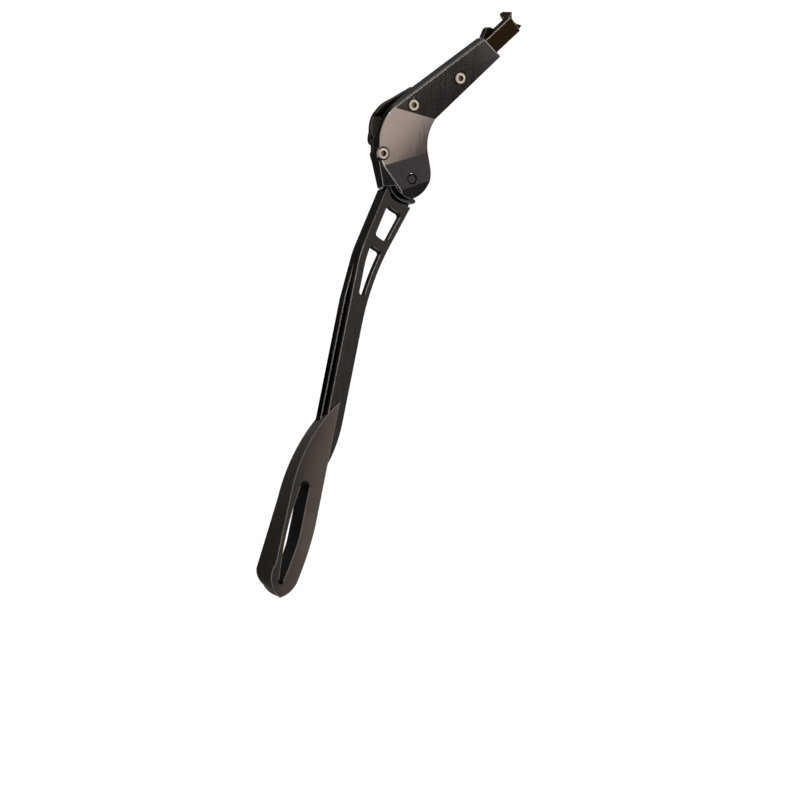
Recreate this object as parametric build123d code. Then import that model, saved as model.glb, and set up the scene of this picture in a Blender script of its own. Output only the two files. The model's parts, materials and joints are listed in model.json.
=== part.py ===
from build123d import *
import math
import os

# Bicycle kickstand for the rear triangle. A head clamps to the chainstay and hooks round the seatstay,
# a leg swings on a pivot at the head's foot, and a shoe slides on the leg to set its length.
# The model is drawn about the pivot, with X to the rear, Y inwards to the wheel and Z up,
# and is moved at the end so that the origin lies on the chainstay's axis.

# Clearances, millimetres
RUNNING_CLEARANCE = 0.03
SLIDE_CLEARANCE = 0.3
FLAT_CLEARANCE = 0.15
WASHER_CLEARANCE = 0.05

# Head, depths measured inwards from the outer face at the pivot
SPLAY = 10.0
PARTING_DEPTH = 15.0
LOWER_BACK_DEPTH = 18.6
FACE_DEPTH = 2.7
FACE_TURN = 2.5
ARM_FACE_TILT = 1.7
CHIN_TILT = 14.0
CHEEK_BEVEL = 38.0
EDGE_BEVEL = 0.9
BEVEL_ANGLE = 45.0
LOBE_RADIUS = 14.3
WALL_BOTTOM = -4.4
WALL_SPARE = 4.0
LEFT_WALL_FOOT = -20.2
BOSS_TOP = 21.5
BOSS_LEFT = -17.6
EAR_LOW = (-25.6, 13.2)
EAR_MIDDLE = (-26.7, 16.6)
EAR_HIGH = (-25.9, 21.2)
SIDE_MIDDLE = (-25.6, 31.0)
SHOULDER_MIDDLE = (-21.9, 42.0)
WAIST_BEND = (15.4, 32.2)
WAIST_LOW = (14.2, 21.0)
CHEEK_BEND = (15.1, 13.2)
CHEEK_RIGHT = (15.6, 7.0)
LOBE_FLAT = 1.2
LOBE_RIGHT_ANGLE = -42.0
LOBE_LOW_ANGLE = -90.0
LOBE_LEFT_ANGLE = 250.0
CREASE_LEFT = (-12.4, 51.3)
CREASE_RIGHT = (19.0, 43.1)
CHIN_LEFT = (-9.8, -8.0)
CHIN_RIGHT = (12.5, -1.7)
CHEEK_BEVEL_TOP = (-21.9, 9.2)
BODY_STOCK = 20.0

# Arm, drawn along its own axis from the upper bolt
ARM_ANGLE = 39.3
ARM_TIP = 35.0
ARM_TIP_SLANT = 1.2
ARM_TIP_CORNER = 1.2
ARM_WAIST = 34.0
ARM_WAIST_FLARE = 0.6
SHOULDER_TOP = (-12.4, 52.9)
ARM_LOWER_EDGE = 9.2
ARM_UPPER_EDGE = 9.6
ARM_WALL = 3.2
CHANNEL_SPARE = 1.0

# Clamp bolts
BOLT_DIAMETER = 5.0
BOLT_HOLE = 5.6
BOLT_HEAD_DIAMETER = 8.5
BOLT_HEAD_HEIGHT = 3.0
BOLT_HEAD_STAND = 0.8
BOLT_SOCKET = 4.0
BOLT_SOCKET_DEPTH = 1.9
COUNTERBORE = 9.6
LOWER_BOLT = (-22.8, 18.6)
BOLT_PITCH = 42.8
LOWER_BAY_ANGLE = 53.6
UPPER_BAY_ANGLE = 26.2
BOLT_TAIL = 1.0
BOLT_HEAD_EDGE = 0.5

# Chainstay clamp
STAY_RADIUS = 8.0
PAD_THICKNESS = 1.5
STAY_DEPTH = 17.0
STAY_HEIGHT = 37.0
STAY_CENTRE = -5.0
CLAMP_LENGTH = 30.0
PAD_HALF_ANGLE = 58.0

# Rear jaw
JAW_THICKNESS = 4.5
JAW_ARCH_WALL = 3.5
JAW_ARCH_LEAD = 6.0
ARCH_TOP = (-18.8, 52.0)
ARCH_BEND = (-20.3, 33.5)
ARCH_LOW = (-25.4, 23.0)
JAW_ARM_INSET = 2.2
JAW_LUG_REACH = 46.0
JAW_LUG_DEPTH = 5.7
JAW_FOOT_DROP = 11.8
JAW_FOOT_END = 8.0
JAW_HEEL_INSET = 0.4
JAW_RAMP = 27.0
JAW_RAMP_RISE = 6.4
LUG_LENGTH = 8.0
LUG_NOSE = 2.2
LUG_NOSE_DROP = 3.3
LUG_BROW = 0.6
LUG_BROW_DROP = 0.3
LUG_CREST_BACK = 2.0
LUG_CREST_RISE = 0.5
JAW_KINK = (8.4, 66.0)
JAW_SHOULDER = (-9.0, 57.1)
JAW_BULGE = (-20.1, 49.4)
JAW_SIDE = (-25.2, 29.0)
JAW_TAB_WIDTH = 7.0
JAW_TAB_THICKNESS = 4.0
JAW_TAB_OVERLAP = 2.0

# Seatstay hook
HOOK_WIDTH = 12.4
HOOK_OFFSET = 0.4
HOOK_THICKNESS = 8.0
HOOK_TAIL = 22.0
HOOK_REACH = 62.3
HOOK_OUT = 12.0
HOOK_IN = 4.0
NOSE_RISE = 4.6
NOSE_DEPTH = 3.0
NOSE_DISH = 2.7
NOSE_RADIUS = 8.5
HORN_DEPTH = 28.5
HORN_THICKNESS = 6.5
HORN_LEAN = 0.6
HORN_SHOULDER = 3.0
HORN_TIP = 1.2
HORN_TIP_INNER = 3.4
HORN_TIP_DROP = 0.8
HORN_INNER_DROP = 7.0
HORN_ROOT = 2.5

# Pivot, in the leg's splayed frame
CHEEK = 4.5
HUB_THICKNESS = 8.5
THRUST_WASHER = 0.5
THRUST_DIAMETER = 20.0
PIN_DIAMETER = 6.4
PIN_HEAD_DIAMETER = 10.4
PIN_HEAD_HEIGHT = 1.8
PIN_RECESS = 0.6
PIN_CHAMFER = 0.6
PIN_MOUTH = 2.0
PIN_HEAD_ROOM = 1.0
PIN_HEAD_ACCESS = 12.0
PIN_SPOT_DEPTH = 17.6
PIN_EDGE = 0.5
BUSH_WALL = 1.2
HUB_RADIUS = 13.4
HUB_FLAT = 12.4
HUB_RIM_RADIUS = 17.0
HUB_RIM_START = 193.0
HUB_RIM_END = 281.0
HUB_ROOM = 0.7
HUB_GROOVE_DEPTH = 3.0
HUB_GROOVE_RADIUS = 20.0
HUB_GROOVE_START = 212.0
HUB_GROOVE_END = 300.0
RIM_NOSE = 1.6
RIM_NOSE_PLACE = 15.6
RIM_NOSE_ANGLE = 278.5
RIM_LEAD = 4.0
RIM_TRAIL = 6.0
HUB_FLAT_CUT = 4.0
SWING = 100.0
SPRING_ANGLE = 90.0
SPRING_THICKNESS = 0.8
SPRING_WIDTH = 7.0
SPRING_HALF_SPAN = 11.0
SPRING_POCKET_TOP = 18.4
SPRING_END_ROOM = 0.6

# Leg, in its splayed frame with the pivot at the centre
LEG_FRONT = 4.0
LEG_DEPTH = 15.5
LEG_WEB = 6.0
LEG_FLANGE = 3.6
LEG_SHOULDER = 18.6
SHOULDER_OVERLAP = 1.0
LEG_LEFT_TOP = (-18.7, -4.9)
LEG_RIGHT_TOP = (-0.4, -19.3)
LEG_LEFT_LEAN = 29.3
LEG_RIGHT_LEAN = 35.0
LEG_LEFT_SWEEP = 90.0
LEG_RIGHT_SWEEP = 210.0
RUN_LEAN = 17.5
RUN_WIDTH = 12.9
LEG_DROP = 160.0
LEG_REACH = 72.5
RUN_TIP = 56.0
RUN_TAPER = 42.0
TIP_SHARE = 0.3
TIP_BEND_SHARE = 0.68
RAIL_HEIGHT = 1.8
RAIL_WIDTH = 8.5
RAIL_START = 104.0
RAIL_RAMP = 26.0
RAIL_ROOT = 0.5
RACK_START = 36.0
TOOTH_PITCH = 3.0
TOOTH_DEPTH = 0.9
TOOTH_SHARE = 0.8
RACK_END = 3.0
RACK_MARGIN = 1.6
GROOVE_WIDTH = 2.6
GROOVE_DEPTH = 1.6
GROOVE_START = 34.0
GROOVE_RIGHT = -1.6
POCKET_END = 98.0
POCKET_OVERRUN = 1.5
WINDOW_FRAME = 4.1
WINDOW_SHIFT = 1.7
WINDOW_UPPER = (26.6, 50.6)
WINDOW_LOWER = (59.3, 95.2)
UPPER_CORNER = 2.3
LOWER_CORNER = 1.6

# Foot, along the leg's straight run: places are (share of the foot's length, millimetres to the right)
FOOT_LENGTH = 153.3
FOOT_FRONT = 1.8
FOOT_DEPTH = 20.4
FOOT_UP_TEETH = 11
FOOT_SPARE = 1.0
FOOT_OPEN = 60.0
FOOT_RIGHT = 0.3
FRONT_FLANK = (0.181, -14.6)
FRONT_BELLY = (0.496, -23.8)
FRONT_HEEL = (0.848, -24.6)
FRONT_TOE_CORNER = (0.972, -22.2)
FRONT_TOE = (1.0, -16.3)
FRONT_SOLE = (0.966, -10.2)
FRONT_BALL = (0.907, -5.3)
FRONT_BEND = (0.776, -1.8)
REAR_FLANK = (0.17, -13.2)
REAR_BELLY = (0.496, -24.2)
REAR_HEEL = (0.861, -30.0)
REAR_TOE_CORNER = (0.902, -27.0)
REAR_TOE = (0.923, -22.5)
REAR_SOLE = (0.954, -14.95)
REAR_BALL = (0.959, -8.6)
REAR_BEND = (0.809, -2.2)
FOOT_SIDE = (0.62, 0.4)
SLOT_LEFT_TOP = (0.452, -17.2)
SLOT_TOP = (0.421, -13.6)
SLOT_RIGHT_TOP = (0.446, -10.4)
SLOT_RIGHT = (0.69, -10.6)
SLOT_RIGHT_BEND = (0.81, -13.1)
SLOT_RIGHT_LOW = (0.918, -16.4)
SLOT_TIP = (0.936, -18.4)
SLOT_LEFT_LOW = (0.915, -19.5)
SLOT_LEFT_BEND = (0.77, -20.9)
SLOT_LEFT = (0.56, -19.5)
LIP_START = 8.0
LIP_LENGTH = 16.0
LIP_BACK = 0.5
LATCH_START = 38.0
LATCH_LENGTH = 14.0
LATCH_BACK = 13.5
LATCH_WIDTH = 4.2
LATCH_THICKNESS = 0.6
LATCH_ROOM = 2.0
LATCH_TURN = 0.8
LATCH_TURN_RISE = 1.6
LATCH_NOSE_GAP = 0.1
LATCH_TAIL = 3.2
LATCH_TAIL_DROP = 1.8
STOP_PIN_DIAMETER = 2.4
STOP_PIN_LENGTH = 7.0
STOP_PIN_PLACE = 42.0

BIG = 400.0
HAIR = 0.01
DOWN = 270.0


def unit(angle):
    return Vector(math.cos(math.radians(angle)), math.sin(math.radians(angle)))


def across(angle):
    return unit(angle + 90)


def thick(sketch, near, far):
    """A sketch in X and Z made solid from depth near to depth far."""
    return extrude(Plane.XZ.offset(-near) * sketch, amount=near - far)


def rod(radius, centre, near, far):
    """A round bar along Y."""
    return thick(Pos(centre.X, centre.Y) * Circle(radius), near, far)


def face(*points):
    return make_face(Polyline(*points, close=True))


def behind(point, slope_x, slope_z):
    """Everything inwards of the plane through point whose depth grows by these slopes."""
    plane = Plane(origin=point, z_dir=(-slope_x, 1, -slope_z))
    return plane * Box(BIG, BIG, BIG, align=(Align.CENTER, Align.CENTER, Align.MIN))


def outside(point, slope_x, slope_z):
    plane = Plane(origin=point, z_dir=(slope_x, -1, slope_z))
    return plane * Box(BIG, BIG, BIG, align=(Align.CENTER, Align.CENTER, Align.MIN))


centre = Vector(0, 0)
lower_bolt = Vector(*LOWER_BOLT)
middle_bolt = lower_bolt + unit(LOWER_BAY_ANGLE) * BOLT_PITCH
upper_bolt = middle_bolt + unit(UPPER_BAY_ANGLE) * BOLT_PITCH
splay_slope = math.tan(math.radians(SPLAY))
turn_slope = math.tan(math.radians(FACE_TURN))
leg_back = LEG_FRONT + LEG_DEPTH
slot_far = CHEEK + HUB_THICKNESS + 2 * (THRUST_WASHER + WASHER_CLEARANCE)
hub_near = CHEEK + THRUST_WASHER + WASHER_CLEARANCE
hub_far = hub_near + HUB_THICKNESS
jaw_back = PARTING_DEPTH + JAW_THICKNESS
foot_back = FOOT_FRONT + FOOT_DEPTH
jaw_foot = STAY_HEIGHT - JAW_FOOT_DROP
stay_bore = STAY_RADIUS + PAD_THICKNESS
bush_radius = PIN_DIAMETER / 2 + RUNNING_CLEARANCE + BUSH_WALL
hook_low = HOOK_OFFSET - HOOK_WIDTH / 2
hook_high = HOOK_OFFSET + HOOK_WIDTH / 2
latch_near = leg_back - RAIL_WIDTH / 2 - LATCH_WIDTH / 2

HEAD = Pos(-STAY_CENTRE, -STAY_DEPTH, -STAY_HEIGHT)
LEG = HEAD * Rotation(-SPLAY, 0, 0)


def arm_point(along, up):
    """A point of the head given along the arm's axis and up from it, from the upper bolt."""
    return upper_bolt + unit(ARM_ANGLE) * along + across(ARM_ANGLE) * up


# Front facets of the head: face, arm, lower cheek, chin and cheek bevel
waist_top = arm_point(-ARM_WAIST, -ARM_LOWER_EDGE - ARM_WAIST_FLARE)
tip_low = arm_point(ARM_TIP + ARM_TIP_SLANT, -ARM_LOWER_EDGE)
tip_high = arm_point(ARM_TIP - ARM_TIP_SLANT, ARM_UPPER_EDGE)
shoulder_top = Vector(*SHOULDER_TOP)
crease_arm_left = Vector(*CREASE_LEFT)
crease_arm_right = Vector(*CREASE_RIGHT)
chin_left = Vector(*CHIN_LEFT)
chin_right = Vector(*CHIN_RIGHT)
bevel_top = Vector(*CHEEK_BEVEL_TOP)


def face_depth(point):
    return FACE_DEPTH + turn_slope * point.X


def slope_from(base_x, base_z, line_start, line_end, tilt):
    """Slopes of a facet that leaves another along a line and tilts inwards on the line's left."""
    along = (line_end - line_start).normalized()
    rise = math.tan(math.radians(tilt))
    return base_x - along.Y * rise, base_z + along.X * rise


def on_plane(point, depth):
    return (point.X, depth, point.Y)


arm_slopes = slope_from(turn_slope, 0, crease_arm_left, crease_arm_right, -ARM_FACE_TILT)
chin_slopes = slope_from(0, splay_slope, chin_right, chin_left, CHIN_TILT)
bevel_slopes = slope_from(0, splay_slope, chin_left, bevel_top, CHEEK_BEVEL)
arm_face = (on_plane(crease_arm_left, face_depth(crease_arm_left)), *arm_slopes)
chin_face = (on_plane(chin_left, chin_left.Y * splay_slope), *chin_slopes)
bevel_face = (on_plane(bevel_top, bevel_top.Y * splay_slope), *bevel_slopes)
main_face = ((0, FACE_DEPTH, 0), turn_slope, 0)
cheek_face = ((0, 0, 0), 0, splay_slope)


def head_outline():
    """Outer line of the head, from the arm's tip round the waist, lobe, side wall and shoulder."""
    waist_low = Vector(*WAIST_LOW)
    cheek_right = Vector(*CHEEK_RIGHT)
    lobe_right = unit(LOBE_RIGHT_ANGLE) * (LOBE_RADIUS - LOBE_FLAT)
    lobe_low = unit(LOBE_LOW_ANGLE) * LOBE_RADIUS
    wall_end = WALL_BOTTOM - WALL_SPARE
    lobe_left = Vector(-math.sqrt(LOBE_RADIUS ** 2 - wall_end ** 2), wall_end)
    ear_low = Vector(*EAR_LOW)
    ear_high = Vector(*EAR_HIGH)
    side_middle = Vector(*SIDE_MIDDLE)
    line = Polyline(waist_top, tip_low, tip_high, shoulder_top)
    line += ThreePointArc(waist_top, Vector(*WAIST_BEND), waist_low)
    line += ThreePointArc(waist_low, Vector(*CHEEK_BEND), cheek_right)
    line += ThreePointArc(cheek_right, lobe_right, lobe_low)
    line += ThreePointArc(lobe_low, unit(LOBE_LEFT_ANGLE) * LOBE_RADIUS, lobe_left)
    line += Polyline(lobe_left, Vector(LEFT_WALL_FOOT, wall_end), ear_low)
    line += ThreePointArc(ear_low, Vector(*EAR_MIDDLE), ear_high)
    line += Line(ear_high, side_middle)
    line += ThreePointArc(side_middle, Vector(*SHOULDER_MIDDLE), shoulder_top)
    outline = make_face(line)
    tip_corner = outline.vertices().sort_by_distance((tip_low.X, tip_low.Y, 0))[0]
    return fillet(tip_corner, ARM_TIP_CORNER)


def stay_bar(radius, length):
    return Pos(STAY_CENTRE, STAY_DEPTH, STAY_HEIGHT) * Rotation(0, 90, 0) * Cylinder(radius, length)


def arm_box(start, end, low, high, near, far):
    """A block along the arm, between two places along it, two across it and two depths."""
    corners = [arm_point(start, low), arm_point(end, low), arm_point(end, high), arm_point(start, high)]
    return thick(face(*corners), near, far)


def wedge(radius, start, end):
    """A sector of a disc between two angles."""
    count = 6
    angles = [start + (end - start) * step / count for step in range(count + 1)]
    corners = [unit(angle) * radius * 1.2 for angle in angles]
    return Circle(radius) & face((0, 0), *corners)


def front_depth(place):
    """Depth of the head's front surface at a place given by X and Z."""
    depths = []
    for origin, slope_x, slope_z in (main_face, arm_face, cheek_face, chin_face, bevel_face):
        depths.append(origin[1] + slope_x * (place.X - origin[0]) + slope_z * (place.Y - origin[2]))
    return max(min(depths[:3]), depths[3], depths[4])


def bevel(start, end):
    """What a bevel takes off a straight edge of the arm's face that has the outside on its left."""
    along = (end - start).normalized()
    foot = start + Vector(along.Y, -along.X) * EDGE_BEVEL
    return outside(on_plane(foot, front_depth(foot)), *slope_from(*arm_slopes, start, end, BEVEL_ANGLE))


hook_near = front_depth(upper_bolt) + ARM_WALL + FLAT_CLEARANCE


def make_head_body():
    """Forged head: faceted front, arm with the hook's channel, ear, side wall and two pivot cheeks."""
    outline = head_outline()
    body = thick(outline, -BODY_STOCK, LOWER_BACK_DEPTH)
    body &= behind(*main_face) + behind(*arm_face) + behind(*cheek_face)
    body -= outside(*chin_face)
    body -= outside(*bevel_face)
    body -= bevel(shoulder_top, tip_high)
    body -= bevel(tip_high, tip_low)
    body -= thick(face((-BIG, BOSS_TOP), (BIG, BOSS_TOP), (BIG, BIG), (-BIG, BIG)), PARTING_DEPTH, BIG)
    body -= thick(face((-BIG, -BIG), (BOSS_LEFT, -BIG), (BOSS_LEFT, BIG), (-BIG, BIG)), PARTING_DEPTH, BIG)
    body -= stay_bar(stay_bore, BIG)
    channel_end = -HOOK_TAIL - HOOK_IN - CHANNEL_SPARE
    body -= arm_box(channel_end, BIG, hook_low - SLIDE_CLEARANCE, hook_high + SLIDE_CLEARANCE,
                    hook_near - FLAT_CLEARANCE, BIG)
    body -= thick(jaw_tab(FLAT_CLEARANCE), PARTING_DEPTH - JAW_TAB_THICKNESS, BIG)
    for bolt in (lower_bolt, middle_bolt, upper_bolt):
        body -= rod(COUNTERBORE / 2, bolt, -BODY_STOCK, bolt_seat(bolt))
        body -= rod(BOLT_HOLE / 2, bolt, -BODY_STOCK, BIG)
    under_wall = face((-BIG, WALL_BOTTOM), (0, WALL_BOTTOM), (0, -BIG), (-BIG, -BIG)) - Circle(LOBE_RADIUS)
    return body - Rotation(-SPLAY, 0, 0) * (pivot_room() + thick(under_wall, -BIG, BIG))


def bolt_seat(bolt):
    return front_depth(bolt) - BOLT_HEAD_STAND + BOLT_HEAD_HEIGHT


def pivot_room():
    """What the hub, pin and spring need cut from the head, in the leg's frame."""
    sweep = wedge(HUB_RIM_RADIUS + HUB_ROOM, HUB_RIM_START - RIM_LEAD, HUB_RIM_END + SWING + RIM_TRAIL)
    room = thick(Circle(HUB_RADIUS + HUB_ROOM) + sweep, CHEEK, slot_far)
    pocket = Rectangle(2 * (SPRING_HALF_SPAN + SPRING_END_ROOM), SPRING_POCKET_TOP)
    room += thick(Pos(0, SPRING_POCKET_TOP / 2) * pocket, CHEEK, slot_far)
    hole = PIN_DIAMETER / 2 + RUNNING_CLEARANCE
    room += rod(hole, centre, -BODY_STOCK, BIG)
    mouth_depth = PIN_CHAMFER + PIN_MOUTH
    mouth = Pos(0, 0, PIN_CHAMFER - mouth_depth / 2) * Cone(hole + mouth_depth, hole, mouth_depth)
    room += Rotation(-90, 0, 0) * mouth
    access = PIN_HEAD_DIAMETER / 2 + PIN_HEAD_ROOM
    return room + rod(access, centre, PIN_SPOT_DEPTH, PIN_SPOT_DEPTH + PIN_HEAD_ACCESS)


def jaw_tab(margin):
    """Foot of the rear jaw, let into the head round the lower bolt."""
    half = JAW_TAB_WIDTH / 2 + margin
    stem = face((lower_bolt.X - half, lower_bolt.Y), (lower_bolt.X + half, lower_bolt.Y),
                (lower_bolt.X + half, jaw_foot + JAW_TAB_OVERLAP),
                (lower_bolt.X - half, jaw_foot + JAW_TAB_OVERLAP))
    return stem + Pos(lower_bolt.X, lower_bolt.Y) * Circle(half)


def make_rear_jaw():
    """Plate behind the head, with an arch round the chainstay, a lug at the arm's tip and a foot."""
    low = JAW_ARM_INSET - ARM_LOWER_EDGE
    kink = Vector(*JAW_KINK)
    shoulder = Vector(*JAW_SHOULDER)
    side_low = Vector(*JAW_SIDE)
    heel = Vector(side_low.X + JAW_HEEL_INSET, jaw_foot)
    high = ARM_UPPER_EDGE - JAW_ARM_INSET
    lug = [arm_point(JAW_LUG_REACH, low),
           arm_point(JAW_LUG_REACH + LUG_NOSE, ARM_UPPER_EDGE - LUG_NOSE_DROP),
           arm_point(JAW_LUG_REACH + LUG_BROW, ARM_UPPER_EDGE - LUG_BROW_DROP),
           arm_point(JAW_LUG_REACH - LUG_CREST_BACK, ARM_UPPER_EDGE + LUG_CREST_RISE),
           arm_point(JAW_LUG_REACH - LUG_LENGTH, high)]
    line = Polyline(heel, (JAW_FOOT_END, jaw_foot), arm_point(-ARM_WAIST, low), *lug,
                    arm_point(-JAW_RAMP, high + JAW_RAMP_RISE), kink, shoulder)
    line += ThreePointArc(shoulder, Vector(*JAW_BULGE), side_low)
    line += Line(side_low, heel)
    plate = thick(make_face(line), PARTING_DEPTH, jaw_back)
    block = face(arm_point(JAW_LUG_REACH - LUG_LENGTH, low), *lug)
    plate += thick(block, PARTING_DEPTH, PARTING_DEPTH + JAW_LUG_DEPTH)
    arch = stay_bar(stay_bore + JAW_ARCH_WALL, CLAMP_LENGTH + JAW_ARCH_LEAD)
    arch = Pos(-JAW_ARCH_LEAD / 2, 0, 0) * arch & behind((0, PARTING_DEPTH, 0), 0, 0)
    beyond = face(ARCH_TOP, ARCH_BEND, ARCH_LOW, (-BIG, ARCH_LOW[1]), (-BIG, ARCH_TOP[1]))
    plate += arch - thick(beyond, 0, BIG)
    plate -= stay_bar(stay_bore, BIG)
    plate += thick(jaw_tab(0), PARTING_DEPTH - JAW_TAB_THICKNESS, PARTING_DEPTH)
    for bolt in (lower_bolt, middle_bolt, upper_bolt):
        plate -= rod(BOLT_DIAMETER / 2 + RUNNING_CLEARANCE, bolt, 0, BIG)
    return plate


def make_clamp_pad(side):
    """Rubber liner of the chainstay clamp, on the head's side or the jaw's side."""
    liner = stay_bar(stay_bore, CLAMP_LENGTH) - stay_bar(STAY_RADIUS, BIG)
    reach = 2 * stay_bore
    spread = reach * math.tan(math.radians(PAD_HALF_ANGLE))
    wedge_face = Plane.YZ.offset(STAY_CENTRE) * face(
        (STAY_DEPTH, STAY_HEIGHT), (STAY_DEPTH + side * reach, STAY_HEIGHT - spread),
        (STAY_DEPTH + side * reach, STAY_HEIGHT + spread))
    return liner & extrude(wedge_face, amount=CLAMP_LENGTH, both=True)


def make_seatstay_hook():
    """Bar that slides in the arm's channel, with a dished nose and a horn that goes behind the stay."""
    near = hook_near
    back = near + HOOK_THICKNESS
    reach = HOOK_REACH
    crest = reach + NOSE_RISE
    inner = crest - HORN_THICKNESS
    profile = Polyline(
        (-HOOK_TAIL, near), (reach, near), (crest, near + NOSE_DEPTH),
        (crest + HORN_LEAN, HORN_DEPTH - HORN_SHOULDER), (crest - HORN_TIP, HORN_DEPTH),
        (crest - HORN_TIP_INNER, HORN_DEPTH - HORN_TIP_DROP), (inner, HORN_DEPTH - HORN_INNER_DROP),
        (inner, back + HORN_ROOT), (inner - HORN_ROOT, back), (-HOOK_TAIL, back), close=True)
    tail = arm_point(0, hook_low)
    plane = Plane(origin=(tail.X, 0, tail.Y), x_dir=(unit(ARM_ANGLE).X, 0, unit(ARM_ANGLE).Y),
                  z_dir=(across(ARM_ANGLE).X, 0, across(ARM_ANGLE).Y))
    hook = extrude(plane * make_face(profile), amount=HOOK_WIDTH)
    middle = arm_point(reach - NOSE_DISH + NOSE_RADIUS, HOOK_OFFSET)
    drift = unit(ARM_ANGLE) * NOSE_RISE
    dish = Plane(origin=(middle.X, near, middle.Y), z_dir=(drift.X, NOSE_DEPTH, drift.Y))
    hook -= dish * Cylinder(NOSE_RADIUS, 4 * NOSE_DEPTH)
    hook -= rod(NOSE_RADIUS, middle + drift, near + NOSE_DEPTH, BIG)
    slot_half = BOLT_DIAMETER / 2 + SLIDE_CLEARANCE
    slot_ends = [arm_point(-HOOK_OUT - SLIDE_CLEARANCE, 0), arm_point(HOOK_IN + SLIDE_CLEARANCE, 0)]
    hook -= arm_box(-HOOK_OUT - SLIDE_CLEARANCE, HOOK_IN + SLIDE_CLEARANCE, -slot_half, slot_half, 0, BIG)
    for end in slot_ends:
        hook -= rod(slot_half, end, 0, BIG)
    return hook


def make_clamp_bolt(bolt, tail):
    """Socket-head bolt whose thread ends in the rear jaw."""
    top = front_depth(bolt) - BOLT_HEAD_STAND
    seat = bolt_seat(bolt)
    head = rod(BOLT_HEAD_DIAMETER / 2, bolt, top, seat)
    head = chamfer(head.edges().sort_by(Axis.Y)[0], BOLT_HEAD_EDGE)
    hexagon = Pos(bolt.X, bolt.Y) * RegularPolygon(BOLT_SOCKET / 2, 6, major_radius=False)
    head -= thick(hexagon, top - 1, top + BOLT_SOCKET_DEPTH)
    return head + rod(BOLT_DIAMETER / 2, bolt, seat, tail)


def make_pivot_pin():
    """Rivet that the leg turns on, set in the outer cheek and headed in the inner one."""
    shank = rod(PIN_DIAMETER / 2, centre, PIN_RECESS, PIN_SPOT_DEPTH)
    shank = fillet(shank.edges().sort_by(Axis.Y)[0], PIN_EDGE)
    return shank + rod(PIN_HEAD_DIAMETER / 2, centre, PIN_SPOT_DEPTH, PIN_SPOT_DEPTH + PIN_HEAD_HEIGHT)


def make_pivot_bush():
    bore = PIN_DIAMETER / 2 + RUNNING_CLEARANCE
    return rod(bush_radius, centre, hub_near, hub_far) - rod(bore, centre, 0, BIG)


def make_thrust_washer(near):
    bore = PIN_DIAMETER / 2 + SLIDE_CLEARANCE
    ring = rod(THRUST_DIAMETER / 2, centre, near, near + THRUST_WASHER)
    return ring - rod(bore, centre, 0, BIG)


def make_detent_spring():
    """Bowed strip between the head's pocket and a flat of the hub."""
    end_height = SPRING_POCKET_TOP - SPRING_THICKNESS
    middle = HUB_FLAT + SPRING_THICKNESS / 2 + WASHER_CLEARANCE
    bow = ThreePointArc((-SPRING_HALF_SPAN, end_height), (0, middle), (SPRING_HALF_SPAN, end_height))
    near = (hub_near + hub_far - SPRING_WIDTH) / 2
    return thick(trace(bow, SPRING_THICKNESS), near, near + SPRING_WIDTH)


def run_point(along, right):
    """A point of the leg's plane given down its straight run and to the right of its middle."""
    return Vector(-LEG_REACH, -LEG_DROP) + unit(DOWN - RUN_LEAN) * along + unit(-RUN_LEAN) * right


stop_place = run_point(STOP_PIN_PLACE, GROOVE_RIGHT - GROOVE_WIDTH / 2)


def meet(start_a, angle_a, start_b, angle_b):
    """Where two lines cross, each given by a point and a direction."""
    a = unit(angle_a)
    b = unit(angle_b)
    gap = start_b - start_a
    along = (gap.X * b.Y - gap.Y * b.X) / (a.X * b.Y - a.Y * b.X)
    return start_a + a * along


def leg_outline():
    half = RUN_WIDTH / 2
    left_top = Vector(*LEG_LEFT_TOP)
    right_top = Vector(*LEG_RIGHT_TOP)
    left_knee = meet(left_top, DOWN - LEG_LEFT_LEAN, run_point(0, -half), DOWN - RUN_LEAN)
    right_knee = meet(right_top, DOWN - LEG_RIGHT_LEAN, run_point(0, half), DOWN - RUN_LEAN)
    taper_start = run_point(RUN_TIP - RUN_TAPER, half)
    taper_middle = run_point(RUN_TIP - RUN_TAPER / 2, half * TIP_BEND_SHARE)
    taper_end = run_point(RUN_TIP, -half * TIP_SHARE)
    line = Polyline(taper_end, run_point(RUN_TIP, -half), left_knee, left_top, (0, 0), right_top, right_knee,
                    taper_start)
    line += ThreePointArc(taper_start, taper_middle, taper_end)
    blade = make_face(line)
    blade = fillet(blade.vertices().sort_by_distance((left_knee.X, left_knee.Y, 0))[0], LEG_LEFT_SWEEP)
    return fillet(blade.vertices().sort_by_distance((right_knee.X, right_knee.Y, 0))[0], LEG_RIGHT_SWEEP)


def ring(inner, outer):
    return Circle(outer) - Circle(inner)


def window(blade, inner, outer, corner):
    """Opening of the leg between two radii, kept a frame's width inside its edges."""
    inset = offset(blade, amount=-WINDOW_FRAME)
    shift = unit(-LEG_LEFT_LEAN) * WINDOW_SHIFT
    opening = inset & (Pos(shift.X, shift.Y) * inset) & ring(inner, outer)
    corners = []
    for vertex in opening.vertices():
        reach = math.hypot(vertex.X, vertex.Y)
        if min(abs(reach - inner), abs(reach - outer)) < HAIR:
            corners.append(vertex)
    return fillet(corners, corner)


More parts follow.
